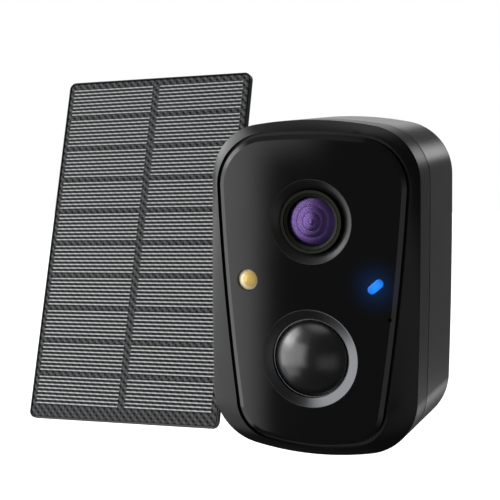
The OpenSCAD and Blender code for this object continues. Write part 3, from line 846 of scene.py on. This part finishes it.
# Sizes of the camera's mouldings, in millimetres on its own axes
WALL = 2.4
BEZEL_D = 14.5  # from the glass back to the seam
PORT_W, PORT_Y0, PORT_Y1 = 38.0, 18.5, 33.5  # the recess for the ports, across and in depth
PORT_FLOOR, PORT_INNER = -46.0, -43.8  # its floor, outside and inside the housing
POST_X, POST_Z = 20.5, 38.3  # the four screw posts
LENS_HOLE_R, DOME_HOLE_R = 12.6, 14.8
DOME_R, SPOT_R = 11.1, 3.1


class SECURITY_OT_bezel(Operator):
    """Build the front bezel: a sloping face around the glass and a deep side band"""

    bl_idname = "security_camera.bezel"
    bl_label = "Front Bezel"

    def execute(self, context):
        model = context.scene.security_camera
        bm = bmesh.new()
        lip, face = GLASS.points(1.1), BODY.points(-0.35)
        seat = GLASS.points(0.12)
        loops = loft(
            bm,
            [
                (seat, 2.3),
                (seat, 2.0),
                (lip, 2.0),
                (lip, 0.7),
                (blend_outline(lip, face, 0.5), 1.55),
                (face, 2.8),
                (BODY.points(), 3.1),
                (BODY.points(), BEZEL_D - 0.2),
                (BODY.points(-WALL), BEZEL_D - 0.2),
                (BODY.points(-WALL), 4.0),
                (GLASS.points(-1.0), 4.0),
                (GLASS.points(-1.0), 2.3),
            ],
            closed=True,
        )
        soften(bm, loops[3], 0.12, 2)
        soften(bm, loops[7], 0.15, 2)
        material = satin_abs(model.colours.bezel, "Satin black bezel", 0.3, 1.4)
        piece("bezel_moulding", bm, material, "front_bezel", sharp=28.0)
        return {"FINISHED"}


class SECURITY_OT_rear_housing(Operator):
    """Build the rear housing: a round-backed shell with its ports, screw wells and slots"""

    bl_idname = "security_camera.rear_housing"
    bl_label = "Rear Housing"

    def execute(self, context):
        model = context.scene.security_camera
        bm = bmesh.new()
        inner = BODY.points(-WALL)
        loops = loft(
            bm,
            [
                (inner, UNIT_D - 3.0),
                (inner, BEZEL_D + 0.1),
                (BODY.points(-0.25), BEZEL_D + 0.1),
                (BODY.points(), BEZEL_D + 0.35),
                (BODY.points(), UNIT_D),
            ],
        )
        cap(bm, loops[0])
        cap(bm, loops[4])
        soften(bm, loops[4], model.edges.rear_round / MM, 14)

        # the screw posts, the boss of the stud insert and the box around the ports
        corners = [(x, z) for x in (-POST_X, POST_X) for z in (-POST_Z, POST_Z)]
        posts = bmesh.new()
        for x, z in corners:
            add_rod(posts, (x, BEZEL_D + 0.6, z), (x, UNIT_D - 2.5, z), 3.6)
        add_rod(posts, (0, UNIT_D - 10.6, 0), (0, UNIT_D - 2.5, 0), 7.7)
        wall = 1.6
        add_block(
            posts,
            (-PORT_W / 2 - wall, PORT_Y0 - wall, PORT_FLOOR - 1.4),
            (PORT_W / 2 + wall, PORT_Y1 + wall, PORT_INNER),
        )
        bm = carve(bm, posts, "UNION")

        cuts = bmesh.new()
        half = PORT_W / 2
        add_block(cuts, (-half, PORT_Y0, -60), (half, PORT_Y1, PORT_FLOOR))
        bm = carve(bm, cuts)

        # the USB-C port, the card slot, the buttons, the insert and the screws
        holes = bmesh.new()
        add_block(holes, (-17.7, 20.3, -48), (-8.3, 24.1, -42))
        add_block(holes, (-7.0, 21.6, -48), (4.6, 23.2, -42))
        for x in (8.8, 13.4):
            add_rod(holes, (x, 24.0, -48), (x, 24.0, -42), 1.8)
        add_rod(holes, (0, UNIT_D - 9, 0), (0, UNIT_D + 1, 0), 4.52, 64)
        for x, z in corners:
            add_rod(holes, (x, UNIT_D - 8, z), (x, UNIT_D + 1, z), 2.6, 40)
        # the speaker's slots in the left wall, and the bore of the port cover's pin
        for step in range(5):
            z = -12.0 + 3.0 * step
            add_rod(holes, (-40, 19, z), (-28, 19, z), 0.7, 20)
        hinge_x, hinge_z = half - 1.6, PORT_FLOOR - 1.3
        pin_y0, pin_y1 = PORT_Y0 - 1.1, PORT_Y1 + 1.1
        add_rod(holes, (hinge_x, pin_y0, hinge_z), (hinge_x, pin_y1, hinge_z), 0.85, 24)
        bm = carve(bm, holes)
        bmesh.ops.dissolve_degenerate(bm, edges=bm.edges, dist=0.0005 * MM)
        material = satin_abs(model.colours.housing)
        piece("rear_housing_moulding", bm, material, "rear_housing", sharp=28.0)
        return {"FINISHED"}


class SECURITY_OT_cover_glass(Operator):
    """Build the cover glass with its chamfered edge and its openings"""

    bl_idname = "security_camera.cover_glass"
    bl_label = "Cover Glass"

    def execute(self, context):
        model = context.scene.security_camera
        holes = [
            circle(0, LENS_Z, LENS_HOLE_R),
            circle(0, PIR_Z, DOME_HOLE_R),
            circle(SPOT_X, LIGHT_Z, SPOT_R + 0.15, 64),
            pill(STATUS_X, LIGHT_Z, 5.6, 2.7, 42),
            circle(MIC_X, MIC_Z, 0.6, 24),
        ]
        bm = bmesh.new()
        outer = loft(bm, [(GLASS.points(-1.3), 0.0), (GLASS.points(), 0.6), (GLASS.points(), 2.0)])
        sides = [loft(bm, [(hole, 0.0), (hole, 2.0)]) for hole in holes]
        fill(bm, [outer[0]] + [side[0] for side in sides], front=True)
        fill(bm, [outer[2]] + [side[1] for side in sides], front=False)
        material = cover_glass(model.colours)
        piece("cover_glass_pane", bm, material, "front_glass", sharp=14.0)
        return {"FINISHED"}


class SECURITY_OT_lens(Operator):
    """Build the lens: its recessed ring, stepped barrel, coated elements and front element"""

    bl_idname = "security_camera.lens"
    bl_label = "Lens"

    def execute(self, context):
        model = context.scene.security_camera
        bm = turned(
            [
                (12.55, 0.0), (12.25, 0.0), (9.9, 1.42), (9.75, 1.5), (9.75, 4.0), (12.55, 4.0),
                (12.55, 0.0),
            ],
            0,
            LENS_Z,
        )
        material = ringed("Moulded lens recess", "#1C1C1D", 0.34, LENS_Z, 0.5, metallic=0.0)
        piece("lens_recess_ring", bm, material, "lens_trim_ring")

        bm = turned(
            [
                (9.4, 10.2), (9.4, 0.25), (9.3, 0.1), (8.5, 0.15), (8.4, 0.5), (8.25, 0.5),
                (8.2, 0.3), (7.5, 0.55), (7.35, 0.7), (7.2, 1.2), (7.2, 5.6), (4.3, 5.6),
                (4.3, 17.0), (3.2, 17.6), (3.2, 18.6), (5.95, 18.6), (5.95, 10.2), (9.4, 10.2),
            ],
            0,
            LENS_Z,
        )
        material = ringed("Anodised lens barrel", "#2F302C", 0.55, LENS_Z, 0.4)
        piece("lens_barrel_turned", bm, material, "lens_barrel", sharp=22.0)

        # four coated elements, one inside the other, each curving down from nearly flat to its rim
        profile = []
        front, steps = 0.95, 10
        start, end = math.radians(2), math.radians(18)
        for inner, outer in ((0.0, 1.0), (1.0, 2.8), (2.8, 4.7), (4.7, 7.1)):
            width = outer - inner
            for i in range(steps + 1):
                t = i / steps
                drop = width * (start * t + (end - start) * t * t / 2)
                profile.append((inner + width * t, front + drop))
            front = front + 0.75 * drop
        profile += [(7.1, 5.55), (0.0, 5.55)]
        bm = turned(profile, 0, LENS_Z)
        material = coated_lens(model.colours)
        piece("lens_elements", bm, material, "inner_lenses", sharp=20.0)

        radius, rim, steps = 26.0, 7.15, 12
        reaches = [rim * i / steps for i in range(steps + 1)]
        outer = [(r, 0.5 + radius - math.sqrt(radius**2 - r**2)) for r in reaches]
        inner = [(r, y + 0.3) for r, y in outer]
        bm = turned(outer + inner[::-1], 0, LENS_Z)
        piece("lens_front_element", bm, clear_element(), "front_lens")
        return {"FINISHED"}


class SECURITY_OT_motion_sensor(Operator):
    """Build the motion sensor: its recessed silver ring and smoked dome"""

    bl_idname = "security_camera.motion_sensor"
    bl_label = "Motion Sensor"

    def execute(self, context):
        model = context.scene.security_camera
        bm = turned(
            [
                (14.75, 0.0), (14.45, 0.0), (11.95, 0.67), (11.8, 1.3), (11.5, 1.3), (11.35, 1.5),
                (11.35, 3.0), (14.75, 3.0), (14.75, 0.0),
            ],
            0,
            PIR_Z,
            128,
        )
        material = ringed("Brushed silver ring", "#626365", 0.2, PIR_Z, 0.35)
        piece("motion_sensor_ring", bm, material, "pir_trim_ring")

        height, rise, steps = 5.6, -4.2, 24
        outer = dome_profile(DOME_R, height, rise, steps)
        inner = dome_profile(DOME_R, height, rise, steps, thin=1.0)[::-1]
        skirt = [(DOME_R, 3.1), (13.4, 3.1), (13.4, 4.8), (DOME_R - 1.6, 4.8)]
        bm = turned(outer + skirt + inner, 0, PIR_Z, 128)
        piece("motion_sensor_dome", bm, smoked_dome(model.colours), "pir_lens")
        return {"FINISHED"}


class SECURITY_OT_lights(Operator):
    """Build the spotlight's dome and the lit status light"""

    bl_idname = "security_camera.lights"
    bl_label = "Spotlight and Status Light"

    def execute(self, context):
        model = context.scene.security_camera
        dome = dome_profile(SPOT_R, 1.35, -0.25, 14)
        bm = turned(dome + [(SPOT_R, 4.0), (2.2, 7.3), (0.0, 7.3)], SPOT_X, LIGHT_Z, 64)
        piece("spotlight_dome", bm, phosphor_dome(), "spotlight_lens")

        bm = bmesh.new()
        outline = pill(STATUS_X, LIGHT_Z, 5.4, 2.5, 42)
        loops = loft(bm, [(outline, 0.05), (outline, 7.3)])
        cap(bm, loops[0])
        cap(bm, loops[1])
        soften(bm, loops[0], 0.3, 4)
        material = status_glow(model.colours)
        piece("status_light_pill", bm, material, "status_light_pipe")
        return {"FINISHED"}


class SECURITY_OT_solar_panel(Operator):
    """Build the panel's laminated face and ease its shell"""

    bl_idname = "security_camera.solar_panel"
    bl_label = "Solar Panel"

    def execute(self, context):
        model = context.scene.security_camera
        rim = 0.7
        outline = rounded_outline(PANEL_W - 2 * rim, PANEL_H - 2 * rim, 2.0)
        bm = bmesh.new()
        loops = [ring(bm, outline, y, panel_place) for y in (0.3, 0.95)]
        bmesh.ops.bridge_loops(bm, edges=loops[0] + loops[1])
        cap(bm, loops[0])
        cap(bm, loops[1])
        soften(bm, loops[0], 0.2, 2)
        layer = bm.loops.layers.uv.new("PanelMillimetres")
        middle_at = panel_place(0, 0, 0)
        for face in bm.faces:
            for corner in face.loops:
                run = (corner.vert.co - middle_at) / MM
                corner[layer].uv = (run.dot(PANEL_RIGHT), run.dot(PANEL_UP))
        piece("solar_film_face", bm, solar_film(model.cells), "panel_sheet", "panel")
        shell = satin_abs(model.colours.housing)
        eased_copy("panel_shell", 0.35, shell)
        eased_copy("junction_box", 0.5, shell)
        return {"FINISHED"}


class SECURITY_OT_bracket(Operator):
    """Ease and finish the bracket's arms, swivels, heads, knobs and bolts"""

    bl_idname = "security_camera.bracket"
    bl_label = "Wall Bracket"

    def execute(self, context):
        model = context.scene.security_camera
        width = model.edges.bracket_edge / MM
        nylon = glass_filled_nylon()
        for name in ("camera_arm", "panel_arm", "wall_plate"):
            eased_copy(name, width * 1.5, nylon)
        for unit in ("camera", "panel"):
            for part in ("swivel", "head", "lock_ring", "tilt_knob"):
                eased_copy(f"{unit}_{part}", width, nylon)
            eased_copy(f"pan_knob_{unit}", width, nylon)
        steel = plated("Zinc-nickel plated steel", "#8C8E91", 0.3)
        for name in ("camera_tilt_bolt", "panel_tilt_bolt", "bracket_bolts"):
            eased_copy(name, 0.25, steel)
        rubber = silicone_rubber()
        eased_copy("port_cover", 0.3, rubber)
        eased_copy("cable_gland", 0.3, rubber)
        return {"FINISHED"}


class SECURITY_OT_hardware(Operator):
    """Give every CAD node that still shows its real finish"""

    bl_idname = "security_camera.hardware"
    bl_label = "Inner Parts and Fixings"

    def execute(self, context):
        model = context.scene.security_camera
        finishes = {
            "housing_black": satin_abs(model.colours.housing),
            "cover_glass": moulded("Printed glass edge", "#0B0B0C", 0.1),
            "adhesive": moulded("Acrylic foam tape", "#101010", 0.7),
            "trim_black": moulded("Satin trim", "#161617", 0.35),
            "trim_silver": plated("Brushed aluminium", "#8D8E90", 0.35),
            "barrel_metal": plated("Anodised aluminium", "#4E504A", 0.5),
            "lens_glass": moulded("Coated glass", "#1B1730", 0.05, 1.52),
            "filter_glass": moulded("Infrared filter glass", "#8A3F5E", 0.05, 1.52),
            "inner_plastic": moulded("Black PBT", "#1B1B1D", 0.45),
            "sensor_chip": moulded("Image sensor under glass", "#26343C", 0.12, 1.52),
            "circuit_board": circuit_board(),
            "shield_metal": plated("Tinned steel shield", "#B9BCBF", 0.32),
            "copper_foil": plated("Copper foil", "#C08A55", 0.3),
            "light_lens": moulded("Silicone lens", "#EFE6C4", 0.2, 1.41),
            "phosphor": moulded("Phosphor on ceramic", "#E2B23C", 0.55),
            "status_light": moulded("Blue light pipe", "#1F6CDC", 0.15, 1.49),
            "dome_smoke": moulded("Smoked polyethylene", "#232326", 0.15, 1.52),
            "seal_rubber": silicone_rubber(),
            "cell_sleeve": moulded("Shrink-wrapped cell", "#2B62A0", 0.25),
            "button_red": moulded("Red button cap", "#B83A2A", 0.35),
            "button_white": moulded("Pale button cap", "#CFCFCC", 0.35),
            "brass_insert": plated("Machined brass", "#C2A25A", 0.28),
            "screw_steel": plated("Black-oxide steel", "#56585A", 0.34),
            "panel_film": moulded("Laminate", "#2A2B2D", 0.45),
            "silicon_cell": moulded("Monocrystalline silicon", "#12151F", 0.2, 1.8),
            "bracket_black": glass_filled_nylon(),
        }
        for obj in frame["nodes"].values():
            for slot in obj.material_slots:
                slot.material = finishes[slot.material.name]
        return {"FINISHED"}


class SECURITY_OT_stage(Operator):
    """Set up the camera view, the studio light and the pale floor"""

    bl_idname = "security_camera.stage"
    bl_label = "Stage"

    def execute(self, context):
        studio = context.scene.security_camera.studio
        context.scene.view_settings.view_transform = "Standard"
        self.aim(context, studio)
        self.light(context)
        low, _ = CAD_BOX
        bm = bmesh.new()
        floor_z = low.z - studio.floor_drop
        bmesh.ops.create_circle(
            bm,
            cap_ends=True,
            segments=96,
            radius=2.5,
            matrix=Matrix.Translation((CENTRE_X, GLASS_Y, floor_z)),
        )
        floor = as_object("floor", bm)
        floor.data.materials.append(self.floor_finish())
        floor.visible_glossy = False
        floor.visible_diffuse = False
        return {"FINISHED"}

    def aim(self, context, studio):
        """The view: a long lens, a little right of the front and a little above it."""
        a, e, t = studio.azimuth, studio.elevation, studio.roll
        back = Vector(
            (math.sin(a) * math.cos(e), -math.cos(a) * math.cos(e), math.sin(e))
        )
        level = Vector((math.cos(a), math.sin(a), 0.0))
        rise = back.cross(level)
        right = level * math.cos(t) + rise * math.sin(t)
        up = rise * math.cos(t) - level * math.sin(t)
        aim_at = place(0, 0, 0) - right * studio.aim_left + up * studio.aim_up
        data = bpy.data.cameras.new("view")
        data.lens = studio.focal
        data.sensor_width = 36.0
        data.clip_start = 0.01
        view = bpy.data.objects.new("view", data)
        turn = Matrix((right, up, back)).transposed().to_4x4()
        view.matrix_world = Matrix.Translation(aim_at + back * studio.distance) @ turn
        context.scene.collection.objects.link(view)
        context.scene.camera = view

    def floor_finish(self):
        # Lit white acrylic: matt, faintly mottled, bright enough to fall away into the background
        material, tree, shader = finish(
            "Lit white acrylic floor",
            Base_Color=linear("#F4F4F4"),
            Emission_Color=linear("#FFFFFF"),
            Emission_Strength=0.75,
        )
        uneven_roughness(tree, shader, 120, 0.5, 0.65)
        return material

    def light(self, context):
        """Soft boxes drawn on the sky: edges and softness in degrees, then brightness."""
        softboxes = [
            # azimuth from, to, softness, elevation from, to, softness, brightness
            (-110, -22, 5, -22, 27, 10, 1.15),
            (-110, -18.6, 2.4, -2.8, 27, 2.0, 1.2),
            (-110, -20.8, 1.6, -22, -2.8, 2.0, 1.2),
            (-112, -64, 12, 12, 46, 14, 4.2),
            (-64, -16, 14, 32, 54, 10, 0.22),
            (-70, -54, 8, 22, 44, 8, 1.6),
            (-90, -44, 10, -42, -22, 8, 1.1),
            (12, 62, 30, -30, 2, 24, 0.4),
            (120, 190, 20, -50, 30, 20, 0.07),
            (-190, -170, 12, -50, 30, 20, 0.07),
            (161.8, 171, 3, 7, 17, 4, 2.2),
            (162, 171, 4, -23, -15, 4, 1.3),
            (-173, -128, 6, -2, 20, 8, 0.7),
            (-180, 180, 1, 66, 91, 22, 1.2),
        ]
        world = bpy.data.worlds.new("Studio")
        world.use_nodes = True
        tree = world.node_tree
        tree.nodes.clear()
        sky = node(tree, "TexCoord")
        axes = node(tree, "SeparateXYZ", {"Vector": sky.outputs["Generated"]})
        ahead = node(tree, "Math", {0: axes.outputs["Y"], 1: -1.0}, operation="MULTIPLY")
        azimuth = node(
            tree, "Math", {0: axes.outputs["X"], 1: ahead.outputs[0]}, operation="ARCTAN2"
        )
        elevation = node(tree, "Math", {0: axes.outputs["Z"]}, operation="ARCSINE")
        total = 0.07  # the dim room between the soft boxes
        for a0, a1, a_soft, e0, e1, e_soft, brightness in softboxes:
            steps = []
            for value, low, high, soft in (
                (azimuth, a0, a1, a_soft),
                (elevation, e0, e1, e_soft),
            ):
                for edge, before, after in ((low, 0.0, 1.0), (high, 1.0, 0.0)):
                    limits = {
                        "From Min": math.radians(edge - soft / 2),
                        "From Max": math.radians(edge + soft / 2),
                        "To Min": before,
                        "To Max": after,
                    }
                    step = node(
                        tree,
                        "MapRange",
                        {"Value": value.outputs[0], **limits},
                        interpolation_type="SMOOTHSTEP",
                    )
                    steps.append(step.outputs["Result"])
            lit = {0: all_of(tree, steps), 1: brightness, 2: total}
            total = node(tree, "Math", lit, operation="MULTIPLY_ADD").outputs[0]
        studio_light = node(tree, "Background", {"Strength": total})
        backdrop = node(tree, "Background", {"Strength": 1.0})
        for shade in (studio_light, backdrop):
            shade.inputs["Color"].default_value = linear("#FFFFFF")
        seen = node(tree, "LightPath")
        mix = node(
            tree,
            "MixShader",
            {0: seen.outputs["Is Camera Ray"], 1: studio_light.outputs[0], 2: backdrop.outputs[0]},
        )
        node(tree, "OutputWorld", {"Surface": mix.outputs[0]})
        context.scene.world = world


class SECURITY_PT_sidebar(Panel):
    """Lists the model's pieces and settings"""

    bl_idname = "SECURITY_PT_sidebar"
    bl_label = "Security Camera"
    bl_space_type = "VIEW_3D"
    bl_region_type = "UI"
    bl_category = "Security Camera"

    def draw(self, context):
        layout = self.layout
        model = context.scene.security_camera
        for operator in OPERATORS:
            layout.operator(operator.bl_idname)
        for group in ("colours", "edges", "cells", "studio"):
            settings = getattr(model, group)
            box = layout.box()
            box.label(text=group.capitalize())
            for name in settings.bl_rna.properties.keys():
                if name not in ("rna_type", "name"):
                    box.prop(settings, name)


# ------------------------------------------------------------------ registration

OPERATORS = (
    SECURITY_OT_stage,
    SECURITY_OT_bezel,
    SECURITY_OT_rear_housing,
    SECURITY_OT_cover_glass,
    SECURITY_OT_lens,
    SECURITY_OT_motion_sensor,
    SECURITY_OT_lights,
    SECURITY_OT_solar_panel,
    SECURITY_OT_bracket,
    SECURITY_OT_hardware,
)
GROUPS = (CameraColours, ShellEdges, SolarCells, StudioSettings, CameraModel)


def register():
    for cls in GROUPS + OPERATORS + (SECURITY_PT_sidebar,):
        bpy.utils.register_class(cls)
    bpy.types.Scene.security_camera = PointerProperty(type=CameraModel)


def unregister():
    del bpy.types.Scene.security_camera
    for cls in reversed(GROUPS + OPERATORS + (SECURITY_PT_sidebar,)):
        bpy.utils.unregister_class(cls)


def main():
    register()
    for operator in OPERATORS:
        group, name = operator.bl_idname.split(".")
        getattr(getattr(bpy.ops, group), name)()


if __name__ == "__main__":
    main()
